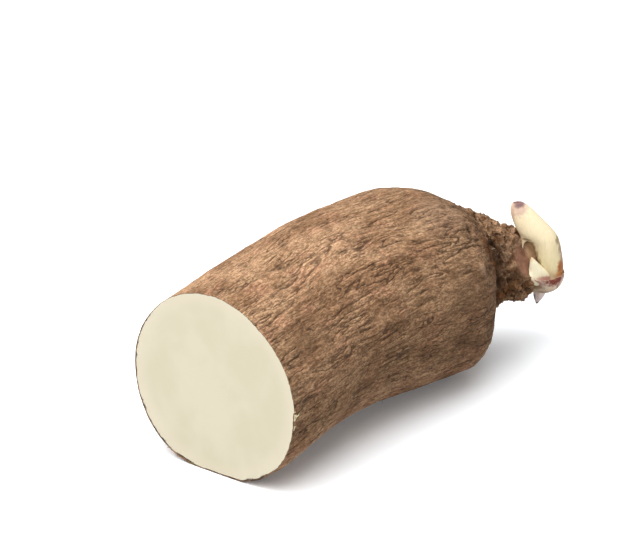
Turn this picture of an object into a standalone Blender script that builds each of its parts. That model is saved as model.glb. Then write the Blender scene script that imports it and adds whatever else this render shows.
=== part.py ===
"""The head end of a white yam, lying on its side as it was cut.

One solid holds the tuber and the corky crown that it grew from. The young shoot, the pale scale
at its foot and the small side bud are organs of their own, each seated in a pit in the crown.
Metres, +Z up. +X runs from the cut face to the crown, and the origin is under the middle of the
whole object, on the surface that it rests on.
"""

import math

import bmesh
import bpy
from mathutils import Matrix, Vector, noise

MM = 0.001

# Driving dimensions
TUBER_SIDES, TUBER_RINGS = 88, 60
SHOOT_SIDES, SHOOT_RINGS = 28, 26
CUT_PEEL = 1.1 * MM
REST_HEIGHT = 0.0
SEAT_GAP = 0.3 * MM

# Sections of the tuber from the cut to the end of the crown, in millimetres and degrees: where
# the middle is along, across and up, half the width, half the height, turn to the side, lean back
SECTIONS = (
    (0.0, 0.0, 46.9, 52.3, 48.5, 0.0, 0.0),
    (40.0, 3.2, 50.0, 53.6, 49.0, 0.0, 0.0),
    (80.0, 7.0, 53.5, 54.4, 49.6, 0.0, 0.0),
    (120.0, 6.5, 53.2, 57.0, 51.6, 0.0, 0.0),
    (154.0, 3.5, 52.6, 57.4, 53.2, -1.0, 3.0),
    (168.0, 2.0, 52.4, 55.7, 53.4, -4.0, 4.5),
    (180.0, 0.0, 51.4, 50.6, 50.6, -6.5, 3.0),
    (189.5, -3.0, 51.0, 42.4, 44.4, -7.5, 0.0),
    (196.5, -5.5, 52.8, 34.0, 39.0, -8.5, -1.0),
    (199.8, -8.0, 54.0, 28.6, 36.0, -10.0, 0.0),
    (204.8, -10.0, 54.8, 24.0, 33.0, -13.0, 3.0),
    (214.0, -13.0, 55.0, 22.0, 28.4, -19.0, 4.0),
    (222.0, -18.0, 52.8, 21.8, 23.6, -30.0, 0.0),
    (230.0, -25.0, 49.3, 20.5, 20.6, -42.0, -6.0),
    (235.6, -31.0, 46.0, 16.2, 16.5, -50.0, -12.0),
    (238.4, -34.0, 44.0, 10.0, 10.5, -51.0, -14.0),
    (239.5, -35.2, 43.2, 4.5, 4.8, -51.0, -14.0),
)
CROWN_STARTS = 201.0
CROWN_FINENESS = 1.9
ROUND_TOP, FULL_UNDERSIDE, FULL_SHOULDER = 1.93, 2.25, 2.6

# Bark relief: how far it stands out, and the size of its swells, wrinkles and corky lumps
BARK_GIRTH, CROWN_GIRTH = 52.0 * MM, 21.0 * MM
SWELL, SWELL_SIZE = 1.3 * MM, 34.0 * MM
WRINKLE, WRINKLE_WIDTH, WRINKLE_LENGTH = 0.9 * MM, 6.5 * MM, 26.0 * MM
TWIST = 1.6
CORK, CORK_SIZE = 4.2 * MM, 8.0 * MM

# The old stem's scar: a smooth flat on the near side of the crown
SCAR_PLACE, SCAR_FACING = Vector((223.0, -36.0, 56.0)) * MM, Vector((0.05, -0.93, 0.36))
SCAR_FLAT, SCAR_EDGE = 13.0 * MM, 19.0 * MM

# The organs on the crown are placed from its middle: out over its end, across, and up
CROWN_MIDDLE = Vector((228.0, -17.0, 50.0)) * MM
OUT, ACROSS = Vector((0.6211, -0.7837, 0.0)), Vector((0.7837, 0.6211, 0.0))

# Line and radius of each organ from its foot to its tip, in millimetres: out, across, up, radius
SHOOT_LINE = (
    (14.0, -3.0, -10.6, 5.6),
    (19.0, -4.0, -10.2, 6.2),
    (23.8, -5.6, -8.0, 6.8),
    (27.3, -7.0, -3.8, 7.0),
    (28.2, -7.6, 1.8, 6.9),
    (26.0, -8.0, 8.2, 7.4),
    (21.6, -8.0, 15.9, 8.0),
    (15.8, -8.0, 23.6, 8.2),
    (10.8, -8.0, 30.6, 6.8),
    (7.7, -8.0, 34.8, 4.7),
    (6.4, -8.0, 36.6, 3.0),
    (5.9, -8.0, 37.5, 1.2),
)
SPUR_LINE = (
    (12.0, -9.0, 27.5, 4.6),
    (10.8, -12.2, 22.6, 3.8),
    (10.8, -15.6, 18.0, 2.5),
    (11.3, -18.2, 13.6, 0.8),
)
SCALE_LINE = (
    (27.6, -11.2, -8.6, 2.4),
    (24.4, -13.8, -6.8, 3.4),
    (20.4, -14.4, -4.0, 4.0),
    (17.6, -13.6, 0.2, 2.7),
    (16.2, -12.4, 4.6, 0.5),
)
BUD_LINE = (
    (18.5, -3.5, -13.5, 2.6),
    (21.5, -5.0, -16.5, 2.9),
    (21.0, -5.8, -20.0, 2.0),
    (19.8, -6.0, -22.6, 0.5),
)
SHOOT_DEPTH, SCALE_DEPTH, BUD_DEPTH = 0.88, 0.36, 0.9


def clear_scene():
    for old in list(bpy.data.objects):
        bpy.data.objects.remove(old)


def new_collection(name, hidden=False):
    collection = bpy.data.collections.new(name)
    bpy.context.scene.collection.children.link(collection)
    collection.hide_render = hidden
    return collection


def finish_of(name, colour, roughness):
    """A plain material: its base colour, its roughness, and no metal."""
    material = bpy.data.materials.new(name)
    material.use_nodes = True
    shader = material.node_tree.nodes["Principled BSDF"]
    shader.inputs["Base Color"].default_value = (*colour, 1.0)
    shader.inputs["Roughness"].default_value = roughness
    shader.inputs["Metallic"].default_value = 0.0
    material.diffuse_color = (*colour, 1.0)
    return material


def object_from(bm, name, collection, *materials):
    """Makes the object, with its faces pointing outwards and smooth shading between near faces."""
    bmesh.ops.recalc_face_normals(bm, faces=bm.faces)
    mesh = bpy.data.meshes.new(name)
    bm.to_mesh(mesh)
    bm.free()
    for material in materials:
        mesh.materials.append(material)
    mesh.shade_smooth()
    mesh.set_sharp_from_angle(angle=math.radians(50))
    obj = bpy.data.objects.new(name, mesh)
    collection.objects.link(obj)
    return obj


def boolean(obj, operation, other):
    modifier = obj.modifiers.new(operation.title(), "BOOLEAN")
    modifier.operation = operation
    modifier.object = other
    modifier.solver = "EXACT"
    return modifier


def smooth_rows(rows, count, fineness=None):
    """Rows on a smooth curve through the given ones, evenly spread along its length. Where
    fineness gives more than 1 for a row, the rows there lie closer together."""
    rows = [Vector(row) for row in rows]
    rows = [2 * rows[0] - rows[1], *rows, 2 * rows[-1] - rows[-2]]
    fine = []
    for a, b, c, d in zip(rows, rows[1:], rows[2:], rows[3:]):
        for k in range(24):
            t = k / 24
            bend = (2 * a - 5 * b + 4 * c - d) * t**2 + (3 * b - a - 3 * c + d) * t**3
            fine.append(b + 0.5 * ((c - a) * t + bend))
    fine.append(rows[-2])
    walked = [0.0]
    for p, q in zip(fine, fine[1:]):
        walked.append(walked[-1] + (q - p).length * (fineness(p) if fineness else 1.0))
    picked, k = [], 0
    for i in range(count):
        goal = walked[-1] * i / (count - 1)
        while k < len(fine) - 2 and walked[k + 1] < goal:
            k += 1
        share = (goal - walked[k]) / max(walked[k + 1] - walked[k], 1e-9)
        picked.append(fine[k].lerp(fine[k + 1], min(max(share, 0.0), 1.0)))
    return picked


def bark_relief(girth_way, walked, crown):
    """How far the bark stands out: girth_way points round the tuber, walked is how far along it
    the place is, and crown goes from 0 on the body to 1 on the crown."""
    twisted = Matrix.Rotation(TWIST * walked, 3, "Z") @ girth_way
    flow = twisted * BARK_GIRTH + Vector((0.0, 0.0, walked))
    stretched = Vector((flow.x / WRINKLE_WIDTH, flow.y / WRINKLE_WIDTH, flow.z / WRINKLE_LENGTH))
    out = SWELL * noise.noise(flow / SWELL_SIZE) + WRINKLE * noise.noise(stretched)
    if crown == 0.0:
        return out
    small = girth_way * CROWN_GIRTH + Vector((0.0, 0.0, walked))
    nearest = noise.voronoi(small / CORK_SIZE)[0][0]
    return out * (1 - 0.6 * crown) + CORK * (0.42 - nearest) * crown


def on_scar(point):
    """A point of the crown, brought down to the scar's flat where it stands over it."""
    facing = SCAR_FACING.normalized()
    over = (point - SCAR_PLACE).dot(facing)
    away = (point - SCAR_PLACE).length
    if over <= 0.0 or away > SCAR_EDGE or point.x < 0.209:
        return point
    share = min((SCAR_EDGE - away) / (SCAR_EDGE - SCAR_FLAT), 1.0)
    return point - facing * over * share


def tuber_ring(section, walked):
    """The points round one section, with the bark's relief."""
    along, side, height, half_width, half_height, turn, lean = section
    centre = Vector((along, side, height)) * MM
    facing = Matrix.Rotation(math.radians(turn), 3, "Z") @ Matrix.Rotation(math.radians(-lean), 3, "Y")
    crown = min(max((along - CROWN_STARTS + 8.0) / 12.0, 0.0), 1.0)
    strength = min(0.4 + along / 6.0, 1.0) * min(half_width / 14.0, 1.0)
    shoulder = min(max((along - 110.0) / 55.0, 0.0), 1.0)
    underside = FULL_UNDERSIDE + (FULL_SHOULDER - FULL_UNDERSIDE) * shoulder
    points = []
    for k in range(TUBER_SIDES):
        angle = 2 * math.pi * k / TUBER_SIDES
        c, s = math.cos(angle), math.sin(angle)
        power = ROUND_TOP if s > 0 else underside
        fullness = (abs(c) ** power + abs(s) ** power) ** (-1 / power)
        reach = Vector((0.0, half_width * fullness * c, half_height * fullness * s)) * MM
        out = strength * bark_relief(Vector((c, s, 0.0)), walked, crown)
        point = on_scar(centre + facing @ (reach + reach.normalized() * out))
        point.z = max(point.z, REST_HEIGHT)
        points.append(point)
    return points


def skin(bm, rings):
    """Faces between each ring of vertices and the next one."""
    for ring, following in zip(rings, rings[1:]):
        for k in range(len(ring)):
            m = (k + 1) % len(ring)
            bm.faces.new((ring[k], ring[m], following[m], following[k]))


def fan(bm, ring, place):
    """Closes an end with triangles that meet in one place."""
    tip = bm.verts.new(place)
    for k in range(len(ring)):
        bm.faces.new((ring[k], ring[(k + 1) % len(ring)], tip))


def tuber_solid(collection, bark, flesh):
    """A loft through the sections: the flat cut face at one end, the crown at the other."""
    rows = smooth_rows(SECTIONS, TUBER_RINGS, lambda row: CROWN_FINENESS if row[0] > CROWN_STARTS else 1.0)
    bm = bmesh.new()
    walked, before, rings = 0.0, rows[0], []
    for row in rows:
        walked += math.hypot((row.xyz - before.xyz).length, row[3] - before[3]) * MM
        before = row
        rings.append([bm.verts.new(point) for point in tuber_ring(row, walked)])
    middle = sum((vertex.co for vertex in rings[0]), Vector()) / TUBER_SIDES
    inner = [bm.verts.new(v.co + (middle - v.co).normalized() * CUT_PEEL) for v in rings[0]]
    skin(bm, [inner, *rings])
    cut = bm.faces.new(inner)
    fan(bm, rings[-1], rows[-1].xyz * MM + OUT * 1.2 * MM)
    cut.material_index = 1
    return object_from(bm, "yam_tuber", collection, bark, flesh)


def organ(name, line, depth, sides, count, collection, material, grow=0.0):
    """A tapering solid along a line. grow swells it all round, for the pit that it sits in."""
    rows = smooth_rows(line, count)
    places = [CROWN_MIDDLE + (OUT * r[0] + ACROSS * r[1] + Vector((0, 0, r[2]))) * MM for r in rows]
    first, last = (places[0] - places[1]).normalized(), (places[-1] - places[-2]).normalized()
    bm = bmesh.new()
    rings = []
    for i, (row, place) in enumerate(zip(rows, places)):
        ahead = (places[min(i + 1, count - 1)] - places[max(i - 1, 0)]).normalized()
        wide = ahead.cross(ACROSS).normalized()
        thick = wide.cross(ahead).normalized()
        shift = first * grow if i == 0 else last * grow if i == count - 1 else Vector()
        ring = []
        for k in range(sides):
            angle = 2 * math.pi * k / sides
            half_wide = row[3] * MM + grow
            half_thick = row[3] * MM * depth + grow
            ring.append(place + shift + wide * half_wide * math.cos(angle) + thick * half_thick * math.sin(angle))
        rings.append([bm.verts.new(point) for point in ring])
    skin(bm, rings)
    fan(bm, rings[0], places[0] + first * grow)
    fan(bm, rings[-1], places[-1] + last * (0.6 * rows[-1][3] * MM + grow))
    return object_from(bm, name, collection, material)


def settle(objects):
    """Moves everything so that the origin is under the middle of the whole."""
    graph = bpy.context.evaluated_depsgraph_get()
    corners = []
    for obj in objects:
        mesh = obj.evaluated_get(graph).to_mesh()
        corners += [vertex.co.copy() for vertex in mesh.vertices]
    low = [min(corner[axis] for corner in corners) for axis in range(3)]
    high = [max(corner[axis] for corner in corners) for axis in range(3)]
    move = Matrix.Translation((-(low[0] + high[0]) / 2, -(low[1] + high[1]) / 2, -low[2]))
    for obj in bpy.data.objects:
        obj.data.transform(move)


def main():
    clear_scene()
    parts = new_collection("white_yam")
    cutters = new_collection("cutters", hidden=True)
    bark = finish_of("bark", (0.30, 0.18, 0.11), 0.9)
    flesh = finish_of("flesh", (0.78, 0.73, 0.56), 0.55)
    sheath = finish_of("shoot_sheath", (0.80, 0.71, 0.45), 0.5)
    pale = finish_of("scale_skin", (0.88, 0.84, 0.66), 0.5)
    purple = finish_of("bud_skin", (0.42, 0.32, 0.37), 0.6)

    tuber = tuber_solid(parts, bark, flesh)
    shoot = organ("main_shoot", SHOOT_LINE, SHOOT_DEPTH, SHOOT_SIDES, SHOOT_RINGS, parts, sheath)
    spur = organ("spur", SPUR_LINE, 0.8, 12, 9, cutters, sheath)
    scale = organ("bud_scale", SCALE_LINE, SCALE_DEPTH, 20, 14, parts, pale)
    bud = organ("side_bud", BUD_LINE, BUD_DEPTH, 16, 10, parts, purple)

    shoot_pit = organ("shoot_pit", SHOOT_LINE, SHOOT_DEPTH, SHOOT_SIDES, SHOOT_RINGS, cutters, bark, SEAT_GAP)
    scale_pit = organ("scale_pit", SCALE_LINE, SCALE_DEPTH, 20, 14, cutters, bark, SEAT_GAP)
    bud_pit = organ("bud_pit", BUD_LINE, BUD_DEPTH, 16, 10, cutters, bark, SEAT_GAP)
    for helper in (spur, shoot_pit, scale_pit, bud_pit):
        helper.display_type = "WIRE"

    boolean(shoot, "UNION", spur)
    boolean(shoot, "DIFFERENCE", scale_pit)
    boolean(shoot, "DIFFERENCE", bud_pit)
    for pit in (shoot_pit, scale_pit, bud_pit):
        boolean(tuber, "DIFFERENCE", pit)
    settle((tuber, shoot, scale, bud))


main()
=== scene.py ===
import math
import random

import bmesh
import bpy
from mathutils import Matrix, Vector, kdtree, noise


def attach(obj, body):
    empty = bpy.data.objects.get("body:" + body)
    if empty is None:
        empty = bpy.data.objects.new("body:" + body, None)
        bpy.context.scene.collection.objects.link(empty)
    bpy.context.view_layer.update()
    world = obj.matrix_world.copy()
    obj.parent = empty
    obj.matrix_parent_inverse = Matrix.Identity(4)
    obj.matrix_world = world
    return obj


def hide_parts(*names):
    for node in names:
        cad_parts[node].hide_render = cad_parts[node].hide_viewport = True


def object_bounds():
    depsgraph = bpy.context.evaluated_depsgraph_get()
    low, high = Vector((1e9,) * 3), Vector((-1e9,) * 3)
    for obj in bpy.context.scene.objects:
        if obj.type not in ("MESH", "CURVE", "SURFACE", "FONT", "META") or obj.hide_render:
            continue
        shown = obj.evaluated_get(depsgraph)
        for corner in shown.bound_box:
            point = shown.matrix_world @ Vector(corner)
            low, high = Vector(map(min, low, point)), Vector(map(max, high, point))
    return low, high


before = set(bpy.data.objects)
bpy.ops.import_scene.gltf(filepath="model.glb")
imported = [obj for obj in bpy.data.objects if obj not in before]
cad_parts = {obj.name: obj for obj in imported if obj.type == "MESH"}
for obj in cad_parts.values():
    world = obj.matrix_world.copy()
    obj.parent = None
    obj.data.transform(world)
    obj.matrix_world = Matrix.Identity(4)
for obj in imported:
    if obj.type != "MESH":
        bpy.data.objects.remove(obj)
cad_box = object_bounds()
MM = 0.001


# The tuber. One body of white flesh in a thin corky bark, cut straight across at one end and
# drawn in at the other to the crown that it hung from. The bark dries in long, wavy furrows with
# finer wrinkles between them, and the crown breaks up into corky knobs round an old stem scar.
CUT_X = cad_box[0].x
CUT_MIDDLE = Vector((CUT_X, -0.0051, 0.0474))
GIRTH, NECK = 0.052, 0.036  # radius of the straight tube of bark, and of the crown
SWAY = 0.05  # of the grain round the tuber, in radians
CROWN_X, CROWN_RAGGED, CROWN_FADE = 0.078, 0.010, (-0.024, 0.004)
SCAR_PLACE = Vector((0.1035, -0.0393, 0.0555))
SCAR_FACING = Vector((0.04, -0.90, 0.43)).normalized()
SCAR_UP, SCAR_WIDE, SCAR_BEHIND = 0.0100, 0.0130, 0.008
SCAR_DOME, SCAR_SHARE = 0.0006, 0.7
# A pit's darkness is partly its own darker cork and partly painted shade; a knob's paleness is partly its
# paler cork and partly painted highlight.
MARKS = (  # place, reach and height (mm), and tone, from -1 for a dark pit to 1 for a pale knob
    ((61.9, -42.2, 74.8), 3.4, -1.6, -0.9), ((78.3, -33.7, 70.5), 2.6, -1.5, -1.0),
    ((83.7, -31.0, 71.8), 2.4, -1.3, -1.0), ((78.7, -34.5, 68.4), 1.8, -1.2, -1.0),
    ((79.0, -35.3, 58.9), 3.2, -1.8, -1.0), ((80.6, -35.3, 54.9), 3.4, -1.8, -1.0),
    ((81.0, -36.7, 63.0), 2.0, -1.3, -1.0), ((87.4, -35.2, 69.6), 1.9, -1.0, -1.0),
    ((89.1, -35.3, 70.9), 1.5, -0.9, -0.9), ((93.5, -35.2, 66.1), 1.7, -0.9, -0.9),
    ((86.7, -37.6, 52.4), 2.9, -1.2, -0.9), ((85.4, -37.9, 48.1), 3.1, -1.2, -0.9),
    ((92.7, -42.9, 40.9), 2.7, -1.6, -1.0), ((89.3, -40.8, 42.3), 2.4, -1.2, -0.9),
    ((76.0, -38.6, 49.5), 2.6, -1.0, -0.7), ((48.2, -38.6, 88.0), 3.2, -1.2, -0.7),
    ((57.8, -36.5, 84.5), 2.6, -1.0, -0.8), ((58.0, -46.0, 70.5), 2.4, -1.0, -0.9),
    ((84.3, -34.0, 67.6), 3.0, 0.9, 0.8), ((86.3, -37.5, 61.3), 3.0, 0.9, 0.6),
    ((91.4, -42.5, 48.0), 2.2, 0.8, 0.6), ((95.4, -28.3, 72.0), 3.2, 0.8, 0.3),
    ((87.2, -29.9, 74.1), 3.0, 0.8, 0.3), ((39.9, -53.9, 71.4), 4.6, 1.3, 0.9),
    ((42.1, -55.2, 65.4), 3.8, 0.8, 0.5), ((30.5, -56.7, 64.7), 2.6, 0.7, 0.7),
    ((-31.1, -12.8, 101.6), 2.6, 1.0, -0.6), ((82.0, -35.0, 38.0), 6.5, 2.6, 0.0),
    ((80.5, -37.0, 45.0), 8.0, 2.4, 0.0), ((80.5, -36.5, 53.0), 8.0, 2.2, 0.0),
)


def only(piece):
    """Selects one piece and nothing else."""
    bpy.ops.object.select_all(action="DESELECT")
    piece.select_set(True)
    bpy.context.view_layer.objects.active = piece


def piece_from(node, name):
    """A piece with a solid's form, its loose triangles joined up into four-sided faces."""
    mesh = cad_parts[node].data.copy()
    mesh.name = name
    mesh.materials.clear()
    piece = bpy.data.objects.new(name, mesh)
    bpy.context.scene.collection.objects.link(piece)
    only(piece)
    bpy.ops.object.mode_set(mode="EDIT")
    bpy.ops.mesh.select_all(action="SELECT")
    bpy.ops.mesh.remove_doubles(threshold=1e-6)
    bpy.ops.mesh.tris_convert_to_quads(face_threshold=0.9, shape_threshold=0.9)
    bpy.ops.object.mode_set(mode="OBJECT")
    return piece


def smooth(piece, levels):
    """Finishes a piece with subdivision."""
    only(piece)
    finer = piece.modifiers.new("Finer", "SUBSURF")
    finer.levels = finer.render_levels = levels
    bpy.ops.object.modifier_apply(modifier=finer.name)


def select_where(piece, wanted, kind="FACE"):
    """In edit mode, selects the faces, edges or vertices that answer to a test."""
    bpy.ops.mesh.select_mode(type=kind)
    bpy.ops.mesh.select_all(action="DESELECT")
    bm = bmesh.from_edit_mesh(piece.data)
    for part in {"FACE": bm.faces, "EDGE": bm.edges, "VERT": bm.verts}[kind]:
        if wanted(part):
            part.select_set(True)
    bm.select_flush_mode()
    bmesh.update_edit_mesh(piece.data)


def middle_at(x):
    """The middle of the tuber at a place along it."""
    steps = (-0.1243, -0.084, -0.044, -0.004, 0.030, 0.056, 0.073, 0.090, 0.102, 0.118)
    sides = (-0.0051, -0.0019, 0.0019, 0.0014, -0.0016, -0.0051, -0.0113, -0.018, -0.026, -0.040)
    heights = (0.0470, 0.0500, 0.0535, 0.0532, 0.0526, 0.0518, 0.0535, 0.0548, 0.0520, 0.0432)
    for k in range(len(steps) - 2):
        if x < steps[k + 1]:
            break
    t = (x - steps[k]) / (steps[k + 1] - steps[k])
    return sides[k] + t * (sides[k + 1] - sides[k]), heights[k] + t * (heights[k + 1] - heights[k])


def keep(piece, name, kind, values):
    """Stores a value at each vertex of a piece, for its relief and its material."""
    stored_values = piece.data.attributes.new(name, kind, "POINT").data
    stored_values.foreach_set("vector" if kind == "FLOAT_VECTOR" else "value", values)


def ramped(value, low, high):
    """A share from 0 to 1 that rises softly between two values."""
    t = min(max((value - low) / (high - low), 0.0), 1.0)
    return t * t * (3 - 2 * t)


tuber = piece_from("yam_tuber", "tuber")
bpy.ops.object.mode_set(mode="EDIT")
select_where(tuber, lambda face: all(abs(v.co.x - CUT_X) < 1e-5 for v in face.verts))
bpy.ops.mesh.delete(type="FACE")
bpy.ops.object.mode_set(mode="OBJECT")
smooth(tuber, 2)

# The grain of the bark runs along the tuber and sways a little, so each place is given where it
# lies on a straight tube of bark, and how far it belongs to the crown and to the scar.
upward = (Vector((0, 0, 1)) - SCAR_FACING * SCAR_FACING.z).normalized()
ways, crowns, scars = [], [], []
places = kdtree.KDTree(len(tuber.data.vertices))
for vertex in tuber.data.vertices:
    places.insert(vertex.co, vertex.index)
places.balance()
for vertex in tuber.data.vertices:
    place = vertex.co
    side, height = middle_at(place.x)
    across, up = place.y - side, place.z - height
    radius = math.hypot(across, up)
    along = place.x + 0.5 * max(0.0, GIRTH - radius)
    angle = math.atan2(up, across) + SWAY * noise.noise(place * 22)
    ways.append(Vector((GIRTH * math.cos(angle), GIRTH * math.sin(angle), along)))
    edge = CROWN_X + CROWN_RAGGED * noise.noise(place * 75)
    depth = place.x - 0.5 * max(0.0, radius - NECK)
    crowns.append(ramped(depth, edge + CROWN_FADE[0], edge + CROWN_FADE[1]))
    over = place - SCAR_PLACE
    flat = over - SCAR_FACING * over.dot(SCAR_FACING)
    wide = flat - upward * flat.dot(upward)
    reach = math.hypot(flat.dot(upward) / SCAR_UP, wide.length / SCAR_WIDE)
    reach += 0.12 * noise.noise(place * 160)
    scars.append(1 - ramped(reach, 0.80, 1.08) if over.dot(SCAR_FACING) > -SCAR_BEHIND else 0.0)
    if scars[-1] > 0:
        lift = over.dot(SCAR_FACING) + SCAR_DOME * (1 - min(reach, 1.0) ** 2)
        vertex.co -= SCAR_FACING * lift * scars[-1] * SCAR_SHARE
shades_and_tones = [0.0] * len(tuber.data.vertices)
for middle, reach, height, shade_and_tone in MARKS:
    middle = Vector(middle) * MM
    outwards = Vector((0.0, *(middle.yz - Vector(middle_at(middle.x))))).normalized()
    for place, index, distance in places.find_range(middle, reach * 1.6 * MM):
        ragged = distance / (reach * MM) + 0.35 * noise.noise(place * 420)
        share = (1 - ramped(ragged, 0.25, 1.15)) * (1 - scars[index])
        tuber.data.vertices[index].co += outwards * height * share * MM
        shades_and_tones[index] = max(-1.0, min(1.0, shades_and_tones[index] + shade_and_tone * share))
keep(tuber, "bark_way", "FLOAT_VECTOR", [c for way in ways for c in way])
keep(tuber, "crown", "FLOAT", crowns)
keep(tuber, "scar", "FLOAT", scars)
keep(tuber, "shade_and_tone", "FLOAT", shades_and_tones)


# The same recipe of wrinkles shapes the mesh, in a geometry node tree, and colours the bark, in
# its material, so that the dark lines lie in the bottoms of the furrows.
def wire(tree, target, value):
    """Links a node's output to an input, or sets a plain number, place or colour there."""
    if isinstance(value, bpy.types.NodeSocket):
        tree.links.new(value, target)
    elif target.type == "RGBA" and len(value) == 3:
        target.default_value = (*value, 1.0)
    else:
        target.default_value = value


def reckon(tree, what, *values):
    """A number that a node works out."""
    made = tree.nodes.new("ShaderNodeMath")
    made.operation = what
    for target, value in zip(made.inputs, values):
        wire(tree, target, value)
    return made.outputs[0]


def reckon_place(tree, what, *values):
    """A place or a length that a node works out."""
    made = tree.nodes.new("ShaderNodeVectorMath")
    made.operation = what
    for target, value in zip(made.inputs, values):
        wire(tree, target, value)
    return made.outputs["Value" if what == "LENGTH" else "Vector"]


def mottle(tree, way, scale, detail=2.0, rough=0.5, shift=0.0, out="Fac"):
    """A noise, moved on by a shift so that no two of them run together."""
    made = tree.nodes.new("ShaderNodeTexNoise")
    made.inputs["Scale"].default_value = scale
    made.inputs["Detail"].default_value = detail
    made.inputs["Roughness"].default_value = rough
    if shift:
        way = reckon_place(tree, "ADD", way, (shift, shift * 0.7, shift * 0.4))
    wire(tree, made.inputs["Vector"], way)
    return made.outputs[out]


def between(tree, value, low, high, first=0.0, last=1.0):
    """Goes softly from first to last as a value goes from low to high."""
    made = tree.nodes.new("ShaderNodeMapRange")
    made.interpolation_type = "SMOOTHSTEP"
    for key, number in (("From Min", low), ("From Max", high), ("To Min", first), ("To Max", last)):
        wire(tree, made.inputs[key], number)
    wire(tree, made.inputs["Value"], value)
    return made.outputs["Result"]


def blend(tree, share, first, last):
    """A number that goes from first to last with a share."""
    made = tree.nodes.new("ShaderNodeMix")
    made.data_type = "FLOAT"
    for target, value in ((made.inputs[0], share), (made.inputs[2], first), (made.inputs[3], last)):
        wire(tree, target, value)
    return made.outputs[0]


def from_furrow(tree, way, scale, detail, shift=0.0):
    """How far a place is from the nearest furrow, where a noise crosses its middle value."""
    value = mottle(tree, way, scale, detail, 0.5, shift)
    return reckon(tree, "ABSOLUTE", reckon(tree, "SUBTRACT", value, 0.5))


def bark_figure(tree, way, place, crown):
    """The bark: its height in millimetres, and how dark it is in its furrows and pits.

    Big and small furrows and a broad swell make the tuber's bark, and knobs, crumbs and pits make
    the crown's, with a broken groove where the two meet. The darkness given to the furrows, pits and
    groove is partly the cork's own colour and partly painted shade.
    """
    half = (0.5, 0.5, 0.5)
    sway = reckon_place(tree, "SUBTRACT", mottle(tree, way, 50, 1, out="Color"), half)
    swayed = reckon_place(tree, "MULTIPLY_ADD", sway, (0.0032, 0.0032, 0.0), way)
    quiver = mottle(tree, way, 260, 1, shift=0.61, out="Color")
    quiver = reckon_place(tree, "SUBTRACT", quiver, half)
    swayed = reckon_place(tree, "MULTIPLY_ADD", quiver, (0.0015, 0.0015, 0.0), swayed)
    long_way = reckon_place(tree, "MULTIPLY", swayed, (1, 1, 0.13))
    short_way = reckon_place(tree, "MULTIPLY", swayed, (1, 1, 0.20))
    wide_way = reckon_place(tree, "MULTIPLY", way, (1, 1, 0.6))
    big = from_furrow(tree, long_way, 270, 0.8)
    small = from_furrow(tree, short_way, 680, 1.0, 0.31)
    parts = between(tree, mottle(tree, wide_way, 95, shift=0.17), 0.37, 0.55)
    small_parts = between(tree, mottle(tree, wide_way, 160, shift=0.53), 0.38, 0.56)
    big_share = between(tree, parts, 0, 1, 0.25, 1.0)
    big_ridge = blend(tree, big_share, 1.0, between(tree, big, 0.0, 0.13))
    small_ridge = blend(tree, small_parts, 1.0, between(tree, small, 0.0, 0.12))
    swell = reckon(tree, "SUBTRACT", mottle(tree, short_way, 120, shift=0.41), 0.5)
    height = reckon(tree, "MULTIPLY_ADD", big_ridge, 0.42, reckon(tree, "MULTIPLY", small_ridge, 0.18))
    height = reckon(tree, "MULTIPLY_ADD", swell, 1.25, height)
    dark = reckon(tree, "MULTIPLY", between(tree, big, 0.034, 0.010), parts)
    small_dark = reckon(tree, "MULTIPLY", between(tree, small, 0.06, 0.01, 0.0, 0.6), small_parts)
    dark = reckon(tree, "MAXIMUM", dark, small_dark)

    knob = from_furrow(tree, place, 105, 3.0)
    crumb = mottle(tree, place, 330, 4, 0.65, 0.23)
    open_here = between(tree, mottle(tree, place, 120, shift=0.45), 0.42, 0.60)
    crumbs = between(tree, crumb, 0.25, 0.75, -1.1, 1.1)
    lumps = reckon(tree, "MULTIPLY_ADD", between(tree, knob, 0.0, 0.17), 1.3, crumbs)
    lumps = reckon(tree, "SUBTRACT", lumps, 0.45)
    pits = reckon(tree, "MULTIPLY", between(tree, knob, 0.05, 0.0), open_here)
    pits = reckon(tree, "MAXIMUM", pits, between(tree, crumb, 0.40, 0.28, 0.0, 0.85))
    collar = reckon(tree, "MULTIPLY", crown, reckon(tree, "SUBTRACT", 1.0, crown))
    broken = between(tree, mottle(tree, place, 150, shift=0.7), 0.42, 0.58, 0.0, 4.0)
    collar = reckon(tree, "MULTIPLY", collar, broken)
    height = reckon(tree, "MULTIPLY_ADD", collar, -1.2, blend(tree, crown, height, lumps))
    return height, reckon(tree, "MAXIMUM", collar, blend(tree, crown, dark, pits))


def stored(tree, name, kind):
    """A value that keep() stored, for the relief."""
    made = tree.nodes.new("GeometryNodeInputNamedAttribute")
    made.data_type = kind
    made.inputs["Name"].default_value = name
    return made.outputs["Attribute"]


MEAN_RELIEF = 0.78  # mm
CUT_EASE = 0.006
relief = bpy.data.node_groups.new("Bark relief", "GeometryNodeTree")
for side in ("INPUT", "OUTPUT"):
    relief.interface.new_socket("Geometry", in_out=side, socket_type="NodeSocketGeometry")
start, end = relief.nodes.new("NodeGroupInput"), relief.nodes.new("NodeGroupOutput")
raised = relief.nodes.new("GeometryNodeSetPosition")
place = relief.nodes.new("GeometryNodeInputPosition").outputs[0]
facing = relief.nodes.new("GeometryNodeInputNormal").outputs[0]
way, crown = stored(relief, "bark_way", "FLOAT_VECTOR"), stored(relief, "crown", "FLOAT")
height = bark_figure(relief, way, place, crown)[0]
height = reckon(relief, "SUBTRACT", height, MEAN_RELIEF)
from_cut = relief.nodes.new("ShaderNodeSeparateXYZ")
relief.links.new(place, from_cut.inputs[0])
near_cut = between(relief, from_cut.outputs["X"], CUT_X, CUT_X + CUT_EASE, 0.25, 1.0)
height = reckon(relief, "MULTIPLY", height, near_cut)
in_metres = between(relief, stored(relief, "scar", "FLOAT"), 0.0, 1.0, MM, 0.05 * MM)
height = reckon(relief, "MULTIPLY", height, in_metres)
scaled = relief.nodes.new("ShaderNodeVectorMath")
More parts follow.
